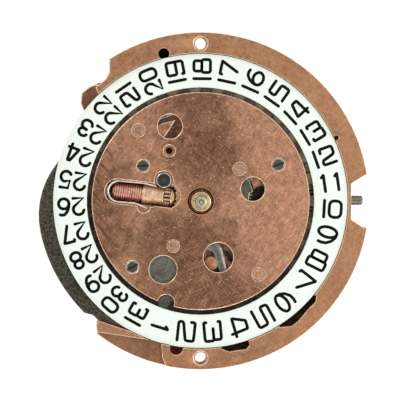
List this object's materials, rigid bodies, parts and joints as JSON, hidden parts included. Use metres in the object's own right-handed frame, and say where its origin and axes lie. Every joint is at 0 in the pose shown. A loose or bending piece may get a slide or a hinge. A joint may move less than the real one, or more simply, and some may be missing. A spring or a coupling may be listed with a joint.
{
  "type": "watch movement",
  "caption": "Round self-winding mechanical watch movement seen from the dial side, with numbered date ring, calendar plate, train, balance and rotor.",
  "frame": {"origin": "central axis of the hands, in the plane of the rim that the dial rests on", "axes": "+Z towards the dial, +X along the winding stem at three o'clock, +Y to twelve o'clock"},
  "size_m": [0.0286, 0.0292, 0.0079],
  "materials": {
    "copper_plate": "copper-plated brass, fine grained",
    "white_print": "white lacquer, satin",
    "brass_wheel": "gilt brass, circular grain",
    "polished_steel": "polished steel",
    "blued_spring": "spring steel",
    "heavy_metal": "sintered heavy metal, speckled",
    "jewel": "synthetic ruby"
  },
  "bodies": {
    "plate": {"main_plate": "copper_plate", "guard_plate": "copper_plate", "guard_plate_screws": "polished_steel", "guard_plate_studs": "copper_plate", "minute_train_cover": "polished_steel", "date_jumper_spring": "blued_spring", "hairpin_spring": "blued_spring", "spring_stud": "polished_steel", "yoke_spring": "blued_spring", "pallet_bridge": "copper_plate", "hairspring": "blued_spring", "balance_cock": "copper_plate", "barrel_bridge": "copper_plate", "train_bridge": "copper_plate", "bridge_screws": "polished_steel", "train_jewels": "jewel", "automatic_bridge": "copper_plate", "automatic_bridge_screws": "polished_steel", "click_spring": "blued_spring"},
    "date_ring_body": {"date_ring": "white_print"},
    "jumper_body": {"date_jumper": "polished_steel"},
    "cannon": {"cannon_pinion": "polished_steel"},
    "minute": {"minute_wheel": "brass_wheel"},
    "hour": {"hour_wheel": "brass_wheel"},
    "setting_relay": {"intermediate_setting_wheel": "brass_wheel"},
    "setting": {"setting_wheel": "polished_steel"},
    "date_idler_body": {"date_idler": "brass_wheel"},
    "date_relay": {"date_intermediate_wheel": "brass_wheel"},
    "date_drive": {"date_driving_wheel": "polished_steel"},
    "plunger": {"corrector_plunger": "brass_wheel"},
    "winding": {"winding_pinion": "polished_steel"},
    "stem": {"winding_stem": "copper_plate"},
    "sliding": {"sliding_pinion": "polished_steel"},
    "lever": {"setting_lever": "polished_steel"},
    "yoke_body": {"yoke": "polished_steel"},
    "barrel": {"barrel_drum": "brass_wheel", "barrel_cover": "brass_wheel", "mainspring": "blued_spring"},
    "ratchet": {"ratchet_wheel": "polished_steel", "barrel_arbor": "polished_steel", "ratchet_screw": "polished_steel"},
    "crown": {"crown_wheel": "polished_steel"},
    "click_body": {"click": "polished_steel"},
    "centre": {"centre_wheel": "brass_wheel"},
    "third": {"third_wheel": "brass_wheel"},
    "seconds": {"seconds_wheel": "brass_wheel"},
    "escape": {"escape_wheel": "polished_steel"},
    "pallet": {"pallet_fork": "polished_steel"},
    "balance": {"balance_wheel": "brass_wheel"},
    "regulator_body": {"regulator": "polished_steel"},
    "reverser": {"reverser_wheel": "brass_wheel"},
    "reduction": {"reduction_wheel": "brass_wheel"},
    "rotor": {"rotor_arm": "copper_plate", "rotor_weight": "heavy_metal", "rotor_screw": "polished_steel"}
  },
  "joints": [
    {"name": "date_ring_turn", "type": "hinge", "parent": "plate", "child": "date_ring_body", "pos_m": [0, 0, 0], "axis": [0, 0, 1], "continuous": true},
    {"name": "date_jumper_lift", "type": "hinge", "parent": "plate", "child": "jumper_body", "pos_m": [-0.0054, 0.00616, 0], "axis": [0, 0, 1], "range_deg": [-6, 0]},
    {"name": "cannon_turn", "type": "hinge", "parent": "plate", "child": "cannon", "pos_m": [0, 0, 0], "axis": [0, 0, 1], "continuous": true},
    {"name": "minute_turn", "type": "hinge", "parent": "plate", "child": "minute", "pos_m": [0.00059, 0.0022, 0], "axis": [0, 0, 1], "continuous": true},
    {"name": "hour_turn", "type": "hinge", "parent": "plate", "child": "hour", "pos_m": [0, 0, 0], "axis": [0, 0, 1], "continuous": true},
    {"name": "setting_relay_turn", "type": "hinge", "parent": "plate", "child": "setting_relay", "pos_m": [0.00318, 0.00071, 0], "axis": [0, 0, 1], "continuous": true},
    {"name": "setting_turn", "type": "hinge", "parent": "plate", "child": "setting", "pos_m": [0.0055, 0, 0], "axis": [0, 0, 1], "continuous": true},
    {"name": "date_idler_turn", "type": "hinge", "parent": "plate", "child": "date_idler_body", "pos_m": [-0.00131, -0.00214, 0], "axis": [0, 0, 1], "continuous": true},
    {"name": "date_relay_turn", "type": "hinge", "parent": "plate", "child": "date_relay", "pos_m": [-0.00238, -0.00389, 0], "axis": [0, 0, 1], "continuous": true},
    {"name": "date_drive_turn", "type": "hinge", "parent": "plate", "child": "date_drive", "pos_m": [-0.00328, -0.00592, 0], "axis": [0, 0, 1], "continuous": true},
    {"name": "plunger_slide", "type": "slide", "parent": "plate", "child": "plunger", "axis": [-0.9934, 0.1149, 0], "range_m": [0, 0.0004]},
    {"name": "winding_turn", "type": "hinge", "parent": "plate", "child": "winding", "pos_m": [0, 0, -0.00145], "axis": [1, 0, 0], "continuous": true},
    {"name": "stem_pull", "type": "slide", "parent": "winding", "child": "stem", "axis": [1, 0, 0], "range_m": [0, 0.0008]},
    {"name": "sliding_shift", "type": "slide", "parent": "winding", "child": "sliding", "axis": [1, 0, 0], "range_m": [-0.0006, 0]},
    {"name": "lever_turn", "type": "hinge", "parent": "plate", "child": "lever", "pos_m": [0.0112, 0.0019, 0], "axis": [0, 0, 1], "range_deg": [0, 24.62]},
    {"name": "yoke_turn", "type": "hinge", "parent": "plate", "child": "yoke_body", "pos_m": [0.00503, -0.00638, 0], "axis": [0, 0, 1], "range_deg": [0, 5.96]},
    {"name": "barrel_turn", "type": "hinge", "parent": "plate", "child": "barrel", "pos_m": [0.00373, -0.00533, 0], "axis": [0, 0, 1], "continuous": true},
    {"name": "ratchet_turn", "type": "hinge", "parent": "plate", "child": "ratchet", "pos_m": [0.00373, -0.00533, 0], "axis": [0, 0, 1], "continuous": true},
    {"name": "crown_turn", "type": "hinge", "parent": "plate", "child": "crown", "pos_m": [0.0076, 0, 0], "axis": [0, 0, 1], "continuous": true},
    {"name": "click_turn", "type": "hinge", "parent": "plate", "child": "click_body", "pos_m": [0.0091, -0.00458, 0], "axis": [0, 0, 1], "range_deg": [0, 8]},
    {"name": "centre_turn", "type": "hinge", "parent": "plate", "child": "centre", "pos_m": [0, 0, 0], "axis": [0, 0, 1], "continuous": true},
    {"name": "third_turn", "type": "hinge", "parent": "plate", "child": "third", "pos_m": [0.00116, 0.00435, 0], "axis": [0, 0, 1], "continuous": true},
    {"name": "seconds_turn", "type": "hinge", "parent": "plate", "child": "seconds", "pos_m": [0, 0, 0], "axis": [0, 0, 1], "continuous": true},
    {"name": "escape_turn", "type": "hinge", "parent": "plate", "child": "escape", "pos_m": [-0.00372, -0.00135, 0], "axis": [0, 0, 1], "continuous": true},
    {"name": "pallet_rock", "type": "hinge", "parent": "plate", "child": "pallet", "pos_m": [-0.0061, -0.00046, 0], "axis": [0, 0, 1], "range_deg": [-5, 5]},
    {"name": "balance_swing", "type": "hinge", "parent": "plate", "child": "balance", "pos_m": [-0.0081, 0.00028, 0], "axis": [0, 0, 1], "range_deg": [-270, 270]},
    {"name": "regulator_shift", "type": "hinge", "parent": "plate", "child": "regulator_body", "pos_m": [-0.0081, 0.00028, 0], "axis": [0, 0, 1], "range_deg": [-12, 12]},
    {"name": "reverser_turn", "type": "hinge", "parent": "plate", "child": "reverser", "pos_m": [-0.0018, -0.00214, 0], "axis": [0, 0, 1], "continuous": true},
    {"name": "reduction_turn", "type": "hinge", "parent": "plate", "child": "reduction", "pos_m": [-0.00084, -0.00472, 0], "axis": [0, 0, 1], "continuous": true},
    {"name": "rotor_turn", "type": "hinge", "parent": "plate", "child": "rotor", "pos_m": [0, 0, 0], "axis": [0, 0, 1], "continuous": true}
  ],
  "couplings": [
    {"joint": "minute_turn", "follows": "cannon_turn", "ratio": -0.33333},
    {"joint": "hour_turn", "follows": "cannon_turn", "ratio": 0.083333},
    {"joint": "setting_relay_turn", "follows": "cannon_turn", "ratio": 0.44444},
    {"joint": "setting_turn", "follows": "cannon_turn", "ratio": -0.5},
    {"joint": "date_idler_turn", "follows": "cannon_turn", "ratio": -0.22222},
    {"joint": "date_relay_turn", "follows": "cannon_turn", "ratio": 0.11111},
    {"joint": "date_drive_turn", "follows": "cannon_turn", "ratio": -0.041667},
    {"joint": "sliding_shift", "follows": "stem_pull", "ratio": -0.75},
    {"joint": "lever_turn", "follows": "stem_pull", "rad_per_m": 526.32},
    {"joint": "yoke_turn", "follows": "stem_pull", "rad_per_m": 119.05},
    {"joint": "third_turn", "follows": "seconds_turn", "ratio": -0.13333},
    {"joint": "centre_turn", "follows": "seconds_turn", "ratio": 0.016667},
    {"joint": "barrel_turn", "follows": "seconds_turn", "ratio": -0.0027778},
    {"joint": "escape_turn", "follows": "seconds_turn", "ratio": -10},
    {"joint": "crown_turn", "follows": "winding_turn", "ratio": -0.58333},
    {"joint": "ratchet_turn", "follows": "winding_turn", "ratio": 0.38889},
    {"joint": "reduction_turn", "follows": "winding_turn", "ratio": -2.3333},
    {"joint": "reverser_turn", "follows": "rotor_turn", "ratio": -0.47368}
  ]
}
